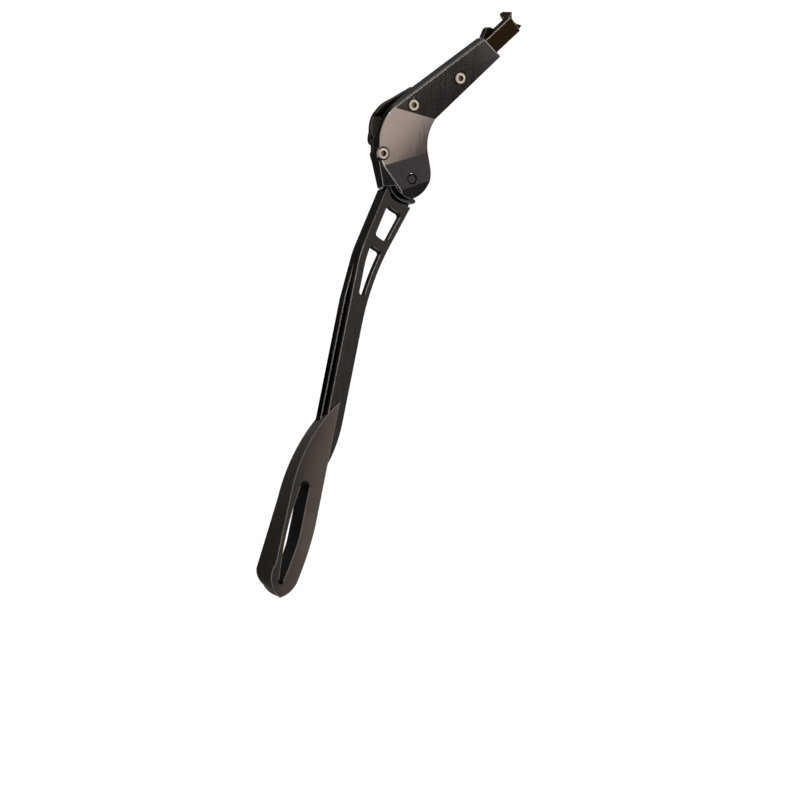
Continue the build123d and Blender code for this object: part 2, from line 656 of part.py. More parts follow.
def make_leg():
    """Forged leg: hub with flats and rim, windowed channel, straight run with rail, rack and groove."""
    blade = leg_outline()
    leg = thick(blade, LEG_FRONT, leg_back) - rod(LEG_SHOULDER, centre, 0, BIG)
    hub = Circle(HUB_RADIUS) + wedge(HUB_RIM_RADIUS, HUB_RIM_START, HUB_RIM_END)
    nose = unit(RIM_NOSE_ANGLE) * RIM_NOSE_PLACE
    hub += Pos(nose.X, nose.Y) * Circle(RIM_NOSE)
    hub += blade & Circle(LEG_SHOULDER + SHOULDER_OVERLAP)
    for angle in (SPRING_ANGLE, SPRING_ANGLE - SWING):
        flat = Rectangle(HUB_FLAT_CUT, BIG, align=(Align.MIN, Align.CENTER))
        hub -= Rotation(0, 0, angle) * Pos(HUB_FLAT, 0) * flat
    hub -= Circle(bush_radius)
    leg += thick(hub, hub_near, hub_far)
    groove = wedge(HUB_GROOVE_RADIUS, HUB_GROOVE_START, HUB_GROOVE_END) + Circle(LEG_SHOULDER)
    leg -= thick(groove - Circle(HUB_RIM_RADIUS) - Pos(nose.X, nose.Y) * Circle(RIM_NOSE), 0,
                 hub_near + HUB_GROOVE_DEPTH)
    leg -= thick(window(blade, *WINDOW_UPPER, UPPER_CORNER), 0, BIG)
    leg -= thick(window(blade, *WINDOW_LOWER, LOWER_CORNER), 0, BIG)
    inset = offset(blade, amount=-LEG_FLANGE)
    open_side = unit(-LEG_LEFT_LEAN) * (LEG_FLANGE + POCKET_OVERRUN)
    pocket = (inset + Pos(open_side.X, open_side.Y) * inset) & ring(LEG_SHOULDER + LEG_FLANGE, POCKET_END)
    leg -= thick(pocket, LEG_FRONT + LEG_WEB, BIG)
    half = RUN_WIDTH / 2
    crest = -half - RAIL_HEIGHT
    root = -half + RAIL_ROOT
    rail = face(run_point(-RAIL_START, root), run_point(-RAIL_START, -half),
                run_point(-RAIL_START + RAIL_RAMP, crest), run_point(RUN_TIP, crest),
                run_point(RUN_TIP, root))
    leg += thick(rail, leg_back - RAIL_WIDTH, leg_back)
    teeth = Sketch()
    gap = TOOTH_PITCH * TOOTH_SHARE
    for tooth in range(int((RACK_START + RUN_TIP - RACK_END) / TOOTH_PITCH)):
        start = tooth * TOOTH_PITCH - RACK_START
        teeth += face(run_point(start, crest - HAIR), run_point(start + gap, crest - HAIR),
                      run_point(start + gap / 2, crest + TOOTH_DEPTH))
    leg -= thick(teeth, leg_back - RAIL_WIDTH + RACK_MARGIN, leg_back - RACK_MARGIN)
    groove_left = GROOVE_RIGHT - GROOVE_WIDTH
    guide = face(run_point(-GROOVE_START, groove_left), run_point(-GROOVE_START, GROOVE_RIGHT),
                 run_point(BIG, GROOVE_RIGHT), run_point(BIG, groove_left))
    leg -= thick(guide, leg_back - GROOVE_DEPTH, BIG)
    return leg - rod(STOP_PIN_DIAMETER / 2, stop_place, leg_back - STOP_PIN_LENGTH, BIG)


def make_foot_stop_pin():
    end = leg_back - FLAT_CLEARANCE
    return rod(STOP_PIN_DIAMETER / 2, stop_place, leg_back - STOP_PIN_LENGTH, end)


def foot_point(place):
    """A point of the foot given by its share of the foot's length and its place to the right."""
    return run_point(place[0] * FOOT_LENGTH, place[1])


def arc(*places):
    return ThreePointArc(*[foot_point(place) for place in places])


def foot_profile(flank, belly, heel, toe_corner, toe, sole, ball, bend):
    """One end profile of the foot from its pointed collar round heel, toe and ball."""
    tip = (0, FOOT_RIGHT)
    line = arc(tip, flank, belly) + Line(foot_point(belly), foot_point(heel))
    line += arc(heel, toe_corner, toe) + arc(toe, sole, ball) + arc(ball, bend, FOOT_SIDE)
    return make_face(line + Line(foot_point(FOOT_SIDE), foot_point(tip)))


def foot_slot():
    """Long opening of the foot, round at its top and narrow at the toe."""
    line = arc(SLOT_LEFT_TOP, SLOT_TOP, SLOT_RIGHT_TOP)
    line += Line(foot_point(SLOT_RIGHT_TOP), foot_point(SLOT_RIGHT))
    line += arc(SLOT_RIGHT, SLOT_RIGHT_BEND, SLOT_RIGHT_LOW) + arc(SLOT_RIGHT_LOW, SLOT_TIP, SLOT_LEFT_LOW)
    line += arc(SLOT_LEFT_LOW, SLOT_LEFT_BEND, SLOT_LEFT)
    return make_face(line + Line(foot_point(SLOT_LEFT), foot_point(SLOT_LEFT_TOP)))


def make_foot():
    """Moulded shoe: pointed collar round the leg's edge, channel for the leg, long slot, rounded sole."""
    front = foot_profile(FRONT_FLANK, FRONT_BELLY, FRONT_HEEL, FRONT_TOE_CORNER, FRONT_TOE, FRONT_SOLE,
                         FRONT_BALL, FRONT_BEND)
    rear = foot_profile(REAR_FLANK, REAR_BELLY, REAR_HEEL, REAR_TOE_CORNER, REAR_TOE, REAR_SOLE, REAR_BALL,
                        REAR_BEND)
    foot = loft([Plane.XZ.offset(-FOOT_FRONT) * front, Plane.XZ.offset(-foot_back) * rear], ruled=True)
    half = RUN_WIDTH / 2
    end = RUN_TIP + FOOT_UP_TEETH * TOOTH_PITCH + FOOT_SPARE
    for edge, near in ((half + SLIDE_CLEARANCE, LEG_FRONT - SLIDE_CLEARANCE),
                       (half + RAIL_HEIGHT + SLIDE_CLEARANCE, leg_back - RAIL_WIDTH - SLIDE_CLEARANCE)):
        channel = face(run_point(-FOOT_OPEN, -edge), run_point(end, -edge), run_point(end, FOOT_OPEN),
                       run_point(-FOOT_OPEN, FOOT_OPEN))
        foot -= thick(channel, near, leg_back + SLIDE_CLEARANCE)
    foot -= thick(foot_slot(), 0, BIG)
    lip = face(run_point(LIP_START, GROOVE_RIGHT - GROOVE_WIDTH + SLIDE_CLEARANCE),
               run_point(LIP_START, GROOVE_RIGHT - SLIDE_CLEARANCE),
               run_point(LIP_START + LIP_LENGTH, GROOVE_RIGHT - SLIDE_CLEARANCE),
               run_point(LIP_START + LIP_LENGTH, GROOVE_RIGHT - GROOVE_WIDTH + SLIDE_CLEARANCE))
    foot += thick(lip, leg_back - GROOVE_DEPTH + SLIDE_CLEARANCE, foot_back - LIP_BACK)
    high = LATCH_START - LATCH_ROOM
    low = LATCH_START + LATCH_LENGTH + LATCH_ROOM
    room = face(run_point(high, -half), run_point(low, -half), run_point(low, -LATCH_BACK),
                run_point(high, -LATCH_BACK))
    return foot - thick(room, latch_near - SLIDE_CLEARANCE, latch_near + LATCH_WIDTH + SLIDE_CLEARANCE)


def make_latch_spring():
    """Bent steel leaf in the foot whose nose drops between two teeth of the rack."""
    back = LATCH_BACK - LATCH_THICKNESS / 2
    crest = RUN_WIDTH / 2 + RAIL_HEIGHT
    tooth = math.floor((LATCH_START + LATCH_LENGTH / 2 + RACK_START) / TOOTH_PITCH)
    valley = (tooth + TOOTH_SHARE / 2) * TOOTH_PITCH - RACK_START
    leaf = Polyline(
        run_point(LATCH_START, -back), run_point(LATCH_START + LATCH_LENGTH, -back),
        run_point(LATCH_START + LATCH_LENGTH + LATCH_TURN, -back + LATCH_TURN_RISE),
        run_point(valley, -crest + LATCH_NOSE_GAP), run_point(valley - LATCH_TAIL, -crest - LATCH_TAIL_DROP))
    return thick(trace(leaf, LATCH_THICKNESS), latch_near, latch_near + LATCH_WIDTH)


def build_all():
    """Each node's solid, placed in the part's own frame."""
    upper_tail = jaw_back + BOLT_TAIL
    lower_tail = PARTING_DEPTH - FLAT_CLEARANCE
    nodes = {
        "head_body": HEAD * make_head_body(),
        "rear_jaw": HEAD * make_rear_jaw(),
        "seatstay_hook": HEAD * make_seatstay_hook(),
        "clamp_pad_front": HEAD * make_clamp_pad(-1),
        "clamp_pad_rear": HEAD * make_clamp_pad(1),
        "clamp_bolt_lower": HEAD * make_clamp_bolt(lower_bolt, lower_tail),
        "clamp_bolt_middle": HEAD * make_clamp_bolt(middle_bolt, upper_tail),
        "clamp_bolt_upper": HEAD * make_clamp_bolt(upper_bolt, upper_tail),
        "pivot_pin": LEG * make_pivot_pin(),
        "pivot_bush": LEG * make_pivot_bush(),
        "thrust_washer_outer": LEG * make_thrust_washer(CHEEK),
        "thrust_washer_inner": LEG * make_thrust_washer(slot_far - THRUST_WASHER),
        "detent_spring": LEG * make_detent_spring(),
        "leg": LEG * make_leg(),
        "foot": LEG * make_foot(),
        "latch_spring": LEG * make_latch_spring(),
        "foot_stop_pin": LEG * make_foot_stop_pin(),
    }
    return nodes


if __name__ == "__main__":
    os.makedirs("parts", exist_ok=True)
    for name, solid in build_all().items():
        export_step(solid, f"parts/{name}.step")
        print(name, round(solid.volume, 1), solid.is_valid, len(solid.solids()))
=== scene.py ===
# %% [markdown]
# # A bicycle kickstand in black alloy
# This stand clamps to the two stays beside a bicycle's rear wheel. A forged head carries a hook and three
# bolts, a windowed leg swings under it, and a moulded foot slides on the leg. The CAD model already holds
# every piece at its true size, so Blender's work is the looks: rounded edges, finishes, light and camera.

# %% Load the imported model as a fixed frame
import json
from math import cos, pi, radians, sin

import bmesh
import bpy
from mathutils import Matrix, Vector
from mathutils.bvhtree import BVHTree

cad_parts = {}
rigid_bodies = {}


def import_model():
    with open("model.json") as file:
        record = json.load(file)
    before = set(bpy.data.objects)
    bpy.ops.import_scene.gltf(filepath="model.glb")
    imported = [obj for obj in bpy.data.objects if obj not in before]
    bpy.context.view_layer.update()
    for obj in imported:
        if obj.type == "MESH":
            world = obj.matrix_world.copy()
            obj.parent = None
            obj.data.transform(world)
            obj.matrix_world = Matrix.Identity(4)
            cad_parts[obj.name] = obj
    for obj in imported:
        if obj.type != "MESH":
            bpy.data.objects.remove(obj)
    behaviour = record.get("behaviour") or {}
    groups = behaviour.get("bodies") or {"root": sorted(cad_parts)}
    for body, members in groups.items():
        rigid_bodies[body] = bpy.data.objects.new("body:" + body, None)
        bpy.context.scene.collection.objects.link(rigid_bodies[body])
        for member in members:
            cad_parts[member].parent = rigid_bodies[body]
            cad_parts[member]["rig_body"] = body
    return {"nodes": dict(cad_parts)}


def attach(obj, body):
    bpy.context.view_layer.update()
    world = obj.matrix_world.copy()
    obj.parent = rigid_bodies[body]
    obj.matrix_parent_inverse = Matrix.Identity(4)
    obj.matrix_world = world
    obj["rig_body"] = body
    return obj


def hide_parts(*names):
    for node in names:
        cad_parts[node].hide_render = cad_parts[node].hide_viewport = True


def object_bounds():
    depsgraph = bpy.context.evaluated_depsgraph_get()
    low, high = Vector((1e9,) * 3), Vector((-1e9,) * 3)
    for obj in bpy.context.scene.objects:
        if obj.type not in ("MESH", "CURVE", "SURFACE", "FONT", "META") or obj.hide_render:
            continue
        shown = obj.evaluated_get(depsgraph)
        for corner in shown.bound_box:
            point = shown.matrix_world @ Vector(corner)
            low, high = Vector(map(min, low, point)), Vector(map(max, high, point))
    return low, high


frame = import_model()
cad_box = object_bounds()
scene = bpy.context.scene
MM = 0.001
print("nodes:", len(frame["nodes"]), "box:", [round(v, 4) for corner in cad_box for v in corner])

# %% [markdown]
# ## Camera
# The stand was seen from its outer side, a little from the front and almost level. A long lens keeps the
# leg's edges parallel, as in a catalogue picture. The camera aims at a point below the pivot so that the
# stand fills the upper half of the square picture.

# %% Camera at the viewing angle
pivot = Vector((5, -17, -37)) * MM
VIEW_TURN = radians(-28)
VIEW_RISE = radians(2)
VIEW_WIDTH = 0.5755
AIM_LEFT = 8.92
AIM_DOWN = 159
LENS = 900
SENSOR = 36

to_camera = Vector((sin(VIEW_TURN) * cos(VIEW_RISE), -cos(VIEW_TURN) * cos(VIEW_RISE), sin(VIEW_RISE)))
view_right = Vector((cos(VIEW_TURN), sin(VIEW_TURN), 0))
view_up = to_camera.cross(view_right)
target = pivot - view_right * AIM_LEFT * MM - view_up * AIM_DOWN * MM

camera_data = bpy.data.cameras.new("camera")
camera_data.lens = LENS
camera_data.sensor_width = SENSOR
camera = bpy.data.objects.new("camera", camera_data)
scene.collection.objects.link(camera)
camera.location = target + to_camera * (VIEW_WIDTH * LENS / SENSOR)
camera.rotation_mode = "QUATERNION"
camera.rotation_quaternion = (-to_camera).to_track_quat("-Z", "Y")
scene.camera = camera
scene.view_settings.view_transform = "Standard"
print("camera stands", round((camera.location - pivot).length, 3), "m from the pivot")

# %% [markdown]
# ## Node helpers
# Materials and the world are small trees of nodes. Two helpers keep the cells short: one adds a node with
# its settings, the other joins an output to an input.


# %% Helpers for node trees
def add(tree, kind, **settings):
    """A new node; settings whose names are sockets go to the sockets, the others to the node."""
    made = tree.nodes.new(kind)
    for key, value in settings.items():
        name = key.replace("_", " ")
        if name in made.inputs:
            made.inputs[name].default_value = value
        else:
            setattr(made, key, value)
    return made


def join(tree, source, target_socket):
    tree.links.new(source, target_socket)


# %% [markdown]
# ## White surroundings
# The stand is shown on pure white. The world gives a plain soft ambient light, and looks white to the
# camera and in reflections through the Light Path node. The floor is a pale sheet just under the lowest
# place of the sliding foot: part of it is lit by the lamps, so it keeps a faint shadow of the stand.

# %% World and floor
AMBIENT = 0.08
world = bpy.data.worlds.new("white_room")
scene.world = world
world.use_nodes = True
world.cycles.sampling_method = "NONE"
sky = world.node_tree
sky.nodes.clear()


def seen_directly(tree):
    """A mask that is 1 where the camera, a reflection or a see-through ray looks at the surroundings."""
    path = add(tree, "ShaderNodeLightPath")
    either = add(tree, "ShaderNodeMath", operation="MAXIMUM")
    join(tree, path.outputs["Is Camera Ray"], either.inputs[0])
    join(tree, path.outputs["Is Glossy Ray"], either.inputs[1])
    any_of = add(tree, "ShaderNodeMath", operation="MAXIMUM")
    join(tree, either.outputs[0], any_of.inputs[0])
    join(tree, path.outputs["Is Transmission Ray"], any_of.inputs[1])
    return any_of.outputs[0]


ambient = add(sky, "ShaderNodeBackground", Color=(1, 0.99, 0.97, 1), Strength=AMBIENT)
white = add(sky, "ShaderNodeBackground", Color=(1, 1, 1, 1), Strength=1.0)
choose = add(sky, "ShaderNodeMixShader")
join(sky, seen_directly(sky), choose.inputs[0])
join(sky, ambient.outputs[0], choose.inputs[1])
join(sky, white.outputs[0], choose.inputs[2])
join(sky, choose.outputs[0], add(sky, "ShaderNodeOutputWorld").inputs["Surface"])

FLOOR_SIZE = 60
FLOOR_GAP = 15.5 * MM
FLOOR_GREY = 0.55
FLOOR_GLOW = 1.27
GLOW_SHARE = 0.8
sheet = bmesh.new()
bmesh.ops.create_grid(sheet, x_segments=1, y_segments=1, size=FLOOR_SIZE / 2)
bmesh.ops.translate(sheet, verts=sheet.verts, vec=(0, 0, cad_box[0].z - FLOOR_GAP))
floor_mesh = bpy.data.meshes.new("floor")
sheet.to_mesh(floor_mesh)
sheet.free()
floor = bpy.data.objects.new("floor", floor_mesh)
scene.collection.objects.link(floor)

paper = bpy.data.materials.new("pale_paper")
paper.use_nodes = True
tree = paper.node_tree
tree.nodes.clear()
matt = add(tree, "ShaderNodeBsdfDiffuse", Color=(FLOOR_GREY, FLOOR_GREY, FLOOR_GREY, 1))
glow = add(tree, "ShaderNodeEmission", Color=(1, 1, 1, 1), Strength=FLOOR_GLOW)
share = add(tree, "ShaderNodeMath", operation="MULTIPLY")
share.inputs[1].default_value = GLOW_SHARE
join(tree, seen_directly(tree), share.inputs[0])
blend = add(tree, "ShaderNodeMixShader")
join(tree, share.outputs[0], blend.inputs[0])
join(tree, matt.outputs[0], blend.inputs[1])
join(tree, glow.outputs[0], blend.inputs[2])
join(tree, blend.outputs[0], add(tree, "ShaderNodeOutputMaterial").inputs["Surface"])
floor_mesh.materials.append(paper)
print("floor at", round(cad_box[0].z - FLOOR_GAP, 4))

# %% [markdown]
# ## Lamps
# Black gloss shows what stands round it. On the real stand one facet of the head mirrors a softbox, while
# the arm, turned under two degrees more, stays dark. So the lamp is placed by reflection: a ray from the
# camera is mirrored in the facet, and the lamp stands where the mirrored ray goes.


# %% A softbox that the head's face mirrors
UP = Vector((0, 0, 1))
FACE_TURN = radians(2.5)
FACE_NORMAL = Vector((sin(FACE_TURN), -cos(FACE_TURN), 0))
GLINT_REACH = 1.9
CARD_SIDE = 0.027
CARD_RISE = 0.103


def mirrored(point, normal):
    """The direction in which the camera's ray leaves a facet."""
    ray = (camera.location - point).normalized()
    return 2 * ray.dot(normal) * normal - ray


def softbox(name, place, aim, width, height, radiance, colour=(1, 1, 1), roll=0.0):
    """An area lamp that looks at a point; radiance is how bright its sheet appears in a mirror."""
    data = bpy.data.lights.new(name, "AREA")
    data.shape = "RECTANGLE"
    data.size = width
    data.size_y = height
    data.energy = radiance * pi * width * height
    data.color = colour
    lamp = bpy.data.objects.new(name, data)
    scene.collection.objects.link(lamp)
    look = (Vector(place) - Vector(aim)).to_track_quat("Z", "Y").to_matrix().to_4x4()
    lamp.matrix_world = Matrix.Translation(place) @ look @ Matrix.Rotation(roll, 4, "Z")
    lamp.visible_camera = False


face_middle = pivot + Vector((-3, 2, 26)) * MM
glint = mirrored(face_middle, FACE_NORMAL)
glint_left = glint.cross(UP).normalized()
card = face_middle + glint * GLINT_REACH
print("the face mirrors", [round(v, 3) for v in glint])
softbox("face_softbox", card - glint_left * CARD_SIDE + UP * CARD_RISE, face_middle,
        width=0.5, height=0.1, radiance=27, colour=(1, 0.91, 0.83), roll=radians(48))

# %% [markdown]
# ## Lamps for the arm and the leg
# The arm is dark but grows lighter towards its end, so a small lamp stands a little beyond the place that
# the arm's end mirrors. The leg leans, and a large soft lamp is mirrored all along it.

# %% Softboxes that the arm's end and the leg mirror
ARM_NORMAL = Vector((0.036, -0.999, -0.029)).normalized()
ARM_CARD_SHIFT = 1.5
LEG_LEAN = radians(10)
LEG_NORMAL = Vector((0, -cos(LEG_LEAN), sin(LEG_LEAN)))
LEG_REACH = 2.3
LEG_RISE = 0.33

arm_middle = Vector((39, -14, 32)) * MM
arm_end = Vector((80, -13, 63)) * MM
arm_card = arm_end + mirrored(arm_end, ARM_NORMAL) * GLINT_REACH
softbox("arm_softbox", arm_card + (arm_end - arm_middle) * ARM_CARD_SHIFT, arm_end,
        width=0.14, height=0.14, radiance=4.2)

leg_card = pivot + mirrored(pivot, LEG_NORMAL) * LEG_REACH
softbox("leg_softbox", leg_card + UP * LEG_RISE, pivot, width=1.2, height=0.9, radiance=2.4)
print("the leg's lamp stands", round((leg_card - pivot).length, 2), "m away")

# %% [markdown]
# ## Lamps round the stand
# The foot is not a mirror, so it needs light from the front. A narrow strip at the left draws lines along
# the edges, and a lamp behind shows the back when the stand is seen from there.

# %% Softboxes in front, at the left and behind
front_place = pivot + Vector((0.1, -1.8, 1.05))
left_place = pivot + Vector((-1.75, -0.95, 0.3))
back_place = pivot + Vector((1.2, 1.5, 0.75))
softbox("front_softbox", front_place, target, width=0.9, height=0.5, radiance=8)
softbox("left_strip", left_place, target, width=0.12, height=1.2, radiance=10)
softbox("back_softbox", back_place, target, width=1.0, height=0.8, radiance=6)

# %% [markdown]
# ## Shared effects
# Several finishes share the same effects, so each is a node group made once. Two of them colour metal: brush
# marks, which are a noise squeezed along one axis, and a mottle for an uneven coating.


# %% Node groups for brush marks and mottle
def new_group(name, inputs, outputs):
    made = bpy.data.node_groups.new(name, "ShaderNodeTree")
    for label, kind, value in inputs:
        socket = made.interface.new_socket(name=label, in_out="INPUT", socket_type=kind)
        if value is not None:
            socket.default_value = value
    for label in outputs:
        made.interface.new_socket(name=label, in_out="OUTPUT", socket_type="NodeSocketFloat")
    return made, made.nodes.new("NodeGroupInput"), made.nodes.new("NodeGroupOutput")


def brush_group():
    group, entry, leave = new_group(
        "brush_marks",
        [("Vector", "NodeSocketVector", None), ("Fineness", "NodeSocketFloat", 900.0),
         ("Stretch", "NodeSocketFloat", 0.04)],
        ["Marks"])
    squeeze = add(group, "ShaderNodeCombineXYZ", X=1.0, Y=1.0)
    join(group, entry.outputs["Stretch"], squeeze.inputs["Z"])
    along = add(group, "ShaderNodeVectorMath", operation="MULTIPLY")
    join(group, entry.outputs["Vector"], along.inputs[0])
    join(group, squeeze.outputs[0], along.inputs[1])
    noise = add(group, "ShaderNodeTexNoise", Detail=6.0, Roughness=0.72)
    join(group, along.outputs[0], noise.inputs["Vector"])
    join(group, entry.outputs["Fineness"], noise.inputs["Scale"])
    spread = add(group, "ShaderNodeMapRange", From_Min=0.3, From_Max=0.7)
    join(group, noise.outputs["Fac"], spread.inputs["Value"])
    join(group, spread.outputs[0], leave.inputs["Marks"])
    return group


def mottle_group():
    group, entry, leave = new_group(
        "mottle",
        [("Vector", "NodeSocketVector", None), ("Scale", "NodeSocketFloat", 60.0)],
        ["Mask"])
    noise = add(group, "ShaderNodeTexNoise", Detail=4.0, Roughness=0.6, Distortion=0.4)
    join(group, entry.outputs["Vector"], noise.inputs["Vector"])
    join(group, entry.outputs["Scale"], noise.inputs["Scale"])
    spread = add(group, "ShaderNodeMapRange", From_Min=0.32, From_Max=0.68)
    join(group, noise.outputs["Fac"], spread.inputs["Value"])
    join(group, spread.outputs[0], leave.inputs["Mask"])
    return group


brush_marks = brush_group()
mottle = mottle_group()
print("node groups:", [group.name for group in bpy.data.node_groups])

# %% [markdown]
# ## Grain and rubbed edges
# Plastic has a fine pebbled grain from its mould. Edges that are handled lose some of their coat: this effect
# reads an attribute that the rounding step writes on the narrow faces along each edge.


# %% Node groups for moulded grain and rubbed edges
def grain_group():
    group, entry, leave = new_group(
        "moulded_grain",
        [("Vector", "NodeSocketVector", None), ("Scale", "NodeSocketFloat", 1600.0)],
        ["Height"])
    cells = add(group, "ShaderNodeTexVoronoi", feature="SMOOTH_F1", Smoothness=0.6)
    join(group, entry.outputs["Vector"], cells.inputs["Vector"])
    join(group, entry.outputs["Scale"], cells.inputs["Scale"])
    fine = add(group, "ShaderNodeTexNoise", Detail=3.0, Scale=900.0)
    join(group, entry.outputs["Vector"], fine.inputs["Vector"])
    both = add(group, "ShaderNodeMath", operation="ADD")
    join(group, cells.outputs["Distance"], both.inputs[0])
    join(group, fine.outputs["Fac"], both.inputs[1])
    join(group, both.outputs[0], leave.inputs["Height"])
    return group


def rubbed_group():
    group, entry, leave = new_group(
        "rubbed_edges",
        [("Vector", "NodeSocketVector", None), ("Amount", "NodeSocketFloat", 0.5)],
        ["Mask"])
    edge = add(group, "ShaderNodeAttribute", attribute_name="edge")
    noise = add(group, "ShaderNodeTexNoise", Scale=420.0, Detail=4.0, Roughness=0.65)
    join(group, entry.outputs["Vector"], noise.inputs["Vector"])
    patchy = add(group, "ShaderNodeMapRange", From_Min=0.38, From_Max=0.66, To_Min=0.7)
    join(group, noise.outputs["Fac"], patchy.inputs["Value"])
    worn = add(group, "ShaderNodeMath", operation="MULTIPLY")
    join(group, edge.outputs["Fac"], worn.inputs[0])
    join(group, patchy.outputs[0], worn.inputs[1])
    scaled = add(group, "ShaderNodeMath", operation="MULTIPLY")
    join(group, worn.outputs[0], scaled.inputs[0])
    join(group, entry.outputs["Amount"], scaled.inputs[1])
    join(group, scaled.outputs[0], leave.inputs["Mask"])
    return group


moulded_grain = grain_group()
rubbed_edges = rubbed_group()
print("node groups:", [group.name for group in bpy.data.node_groups])

# %% [markdown]
# ## Finishes
# A finish starts from the same small tree: Object coordinates feed the effects, the effects mix two
# colours and two roughness values, and a fine height goes through Bump to the normal. What differs between
# metal, plastic and rubber is set on the Principled shader's own sockets.


# %% A tree that every finish starts from
def use(tree, group, vector, **values):
    placed = add(tree, "ShaderNodeGroup", node_tree=group)
    join(tree, vector, placed.inputs["Vector"])
    for key, value in values.items():
        placed.inputs[key].default_value = value
    return placed


def between(tree, mask, low, high):
    """A value that goes from low to high as the mask goes from 0 to 1."""
    ramp = add(tree, "ShaderNodeMapRange", To_Min=low, To_Max=high)
    join(tree, mask, ramp.inputs["Value"])
    return ramp.outputs[0]


def blend_colour(tree, mask, first, second):
    """Mixes two colours by a mask; either may be a plain colour or another node's output."""
    mixer = add(tree, "ShaderNodeMix", data_type="RGBA")
    join(tree, mask, mixer.inputs["Factor"])
    for socket, colour in ((mixer.inputs[6], first), (mixer.inputs[7], second)):
        if isinstance(colour, tuple):
            socket.default_value = (*colour, 1)
        else:
            join(tree, colour, socket)
    return mixer.outputs[2]


def finish_tree(name, **shader):
    """A new material with its shader, and Object coordinates that may be turned along a brushing."""
    made = bpy.data.materials.new(name)
    made.use_nodes = True
    tree = made.node_tree
    tree.nodes.clear()
    surface = add(tree, "ShaderNodeBsdfPrincipled", **shader)
    join(tree, surface.outputs[0], add(tree, "ShaderNodeOutputMaterial").inputs["Surface"])
    place = add(tree, "ShaderNodeTexCoord").outputs["Object"]
    return made, tree, surface, place


def turned(tree, place, angles):
    mapping = add(tree, "ShaderNodeMapping", Rotation=tuple(radians(angle) for angle in angles))
    join(tree, place, mapping.inputs["Vector"])
    return mapping.outputs[0]


def raise_bump(tree, surface, height, strength, depth):
    bump = add(tree, "ShaderNodeBump", Strength=strength, Distance=depth)
    join(tree, height, bump.inputs["Height"])
    join(tree, bump.outputs[0], surface.inputs["Normal"])


# %% [markdown]
# ## Metals
# The black alloy is a dark metal whose brush marks catch the light, and its rubbed edges show bare metal.
# The bolts are plain steel. Faces deep in a slot or a socket carry a mark and take a darker colour, which is
# painted shade for the light that does not reach into them.


# %% Brushed metals
METAL_PATCHES = 70.0
COAT_FADE = 0.35
BRUSH_BUMP = 0.5


def paint_recess_shade(tree, outside, recess_shade):
    """The outside colour, but a painted shade colour on the faces that are marked as lying in a recess."""
    mask = add(tree, "ShaderNodeAttribute", attribute_name="recess")
    return blend_colour(tree, mask.outputs["Fac"], outside, recess_shade)


def brushed_metal(name, dark, light, worn, smooth, rough, marks, rub=0.6, turn=(0, 0, 0), depth=0.004,
                  recess_shade=None, **shader):
    """Metal with brush marks along the turned Z axis, an uneven coat, rubbed edges and painted shade in
    recesses.
    """
    made, tree, surface, place = finish_tree(name, Metallic=1.0, **shader)
    lines = use(tree, brush_marks, turned(tree, place, turn), Fineness=marks)
    patches = use(tree, mottle, place, Scale=METAL_PATCHES)
    edges = use(tree, rubbed_edges, place, Amount=rub)
    streaks = blend_colour(tree, lines.outputs["Marks"], dark, light)
    patched = blend_colour(tree, between(tree, patches.outputs["Mask"], 0.0, COAT_FADE), streaks, dark)
    coat = blend_colour(tree, edges.outputs["Mask"], patched, worn)
    # Faces in a recess get a darker colour here: a painted shade.
    join(tree, paint_recess_shade(tree, coat, recess_shade or dark), surface.inputs["Base Color"])
    join(tree, between(tree, lines.outputs["Marks"], smooth, rough), surface.inputs["Roughness"])
    raise_bump(tree, surface, lines.outputs["Marks"], BRUSH_BUMP, depth * MM)
    return made


brushed_black = brushed_metal(
    "brushed_black_alloy", dark=(0.0116, 0.0101, 0.0096), light=(0.0165, 0.0145, 0.0139),
    worn=(0.4, 0.37, 0.345), smooth=0.045, rough=0.08, marks=900.0, depth=0.0003,
    Specular_Tint=(0.47, 0.47, 0.47, 1))
satin_black = brushed_metal(
    "satin_black_alloy", dark=(0.0108, 0.0094, 0.0088), light=(0.016, 0.0141, 0.0132),
    worn=(0.2, 0.183, 0.17), smooth=0.16, rough=0.26, marks=420.0, depth=0.0015,
    Specular_Tint=(0.46, 0.46, 0.46, 1))
hook_brown = brushed_metal(
    "brown_black_alloy", dark=(0.0085, 0.0049, 0.0023), light=(0.0137, 0.0081, 0.0039),
    worn=(0.5, 0.42, 0.31), smooth=0.44, rough=0.54, marks=700.0, rub=0.9, turn=(0, -50.7, 0),
    depth=0.0004, Specular_Tint=(0.5, 0.5, 0.5, 1))
jaw_brown = brushed_metal(
    "cast_black_alloy", dark=(0.011, 0.0078, 0.0055), light=(0.018, 0.0132, 0.0096),
    worn=(0.12, 0.1, 0.075), smooth=0.26, rough=0.36, marks=500.0, rub=0.3, depth=0.001,
    Specular_Tint=(0.5, 0.5, 0.5, 1))
# The stainless steel's darker recess colour is painted shade in the bolts' hex sockets.
stainless = brushed_metal(
    "stainless_steel", dark=(0.22, 0.19, 0.157), light=(0.3, 0.263, 0.22), worn=(0.44, 0.4, 0.35),
    smooth=0.36, rough=0.46, marks=1400.0, depth=0.0005, recess_shade=(0.05, 0.038, 0.027))
pin_steel = brushed_metal(
    "blackened_steel", dark=(0.014, 0.013, 0.012), light=(0.024, 0.022, 0.021),
    worn=(0.08, 0.07, 0.065), smooth=0.3, rough=0.42, marks=1200.0)
spring_steel = brushed_metal(
    "spring_steel", dark=(0.24, 0.23, 0.21), light=(0.36, 0.34, 0.32), worn=(0.5, 0.48, 0.45),
    smooth=0.2, rough=0.36, marks=1500.0)
bronze = brushed_metal(
    "bush_bronze", dark=(0.36, 0.22, 0.1), light=(0.5, 0.32, 0.15), worn=(0.6, 0.42, 0.22),
    smooth=0.25, rough=0.42, marks=1200.0)
metals = [made.name for made in bpy.data.materials if "steel" in made.name or "alloy" in made.name]
print("metals:", metals)
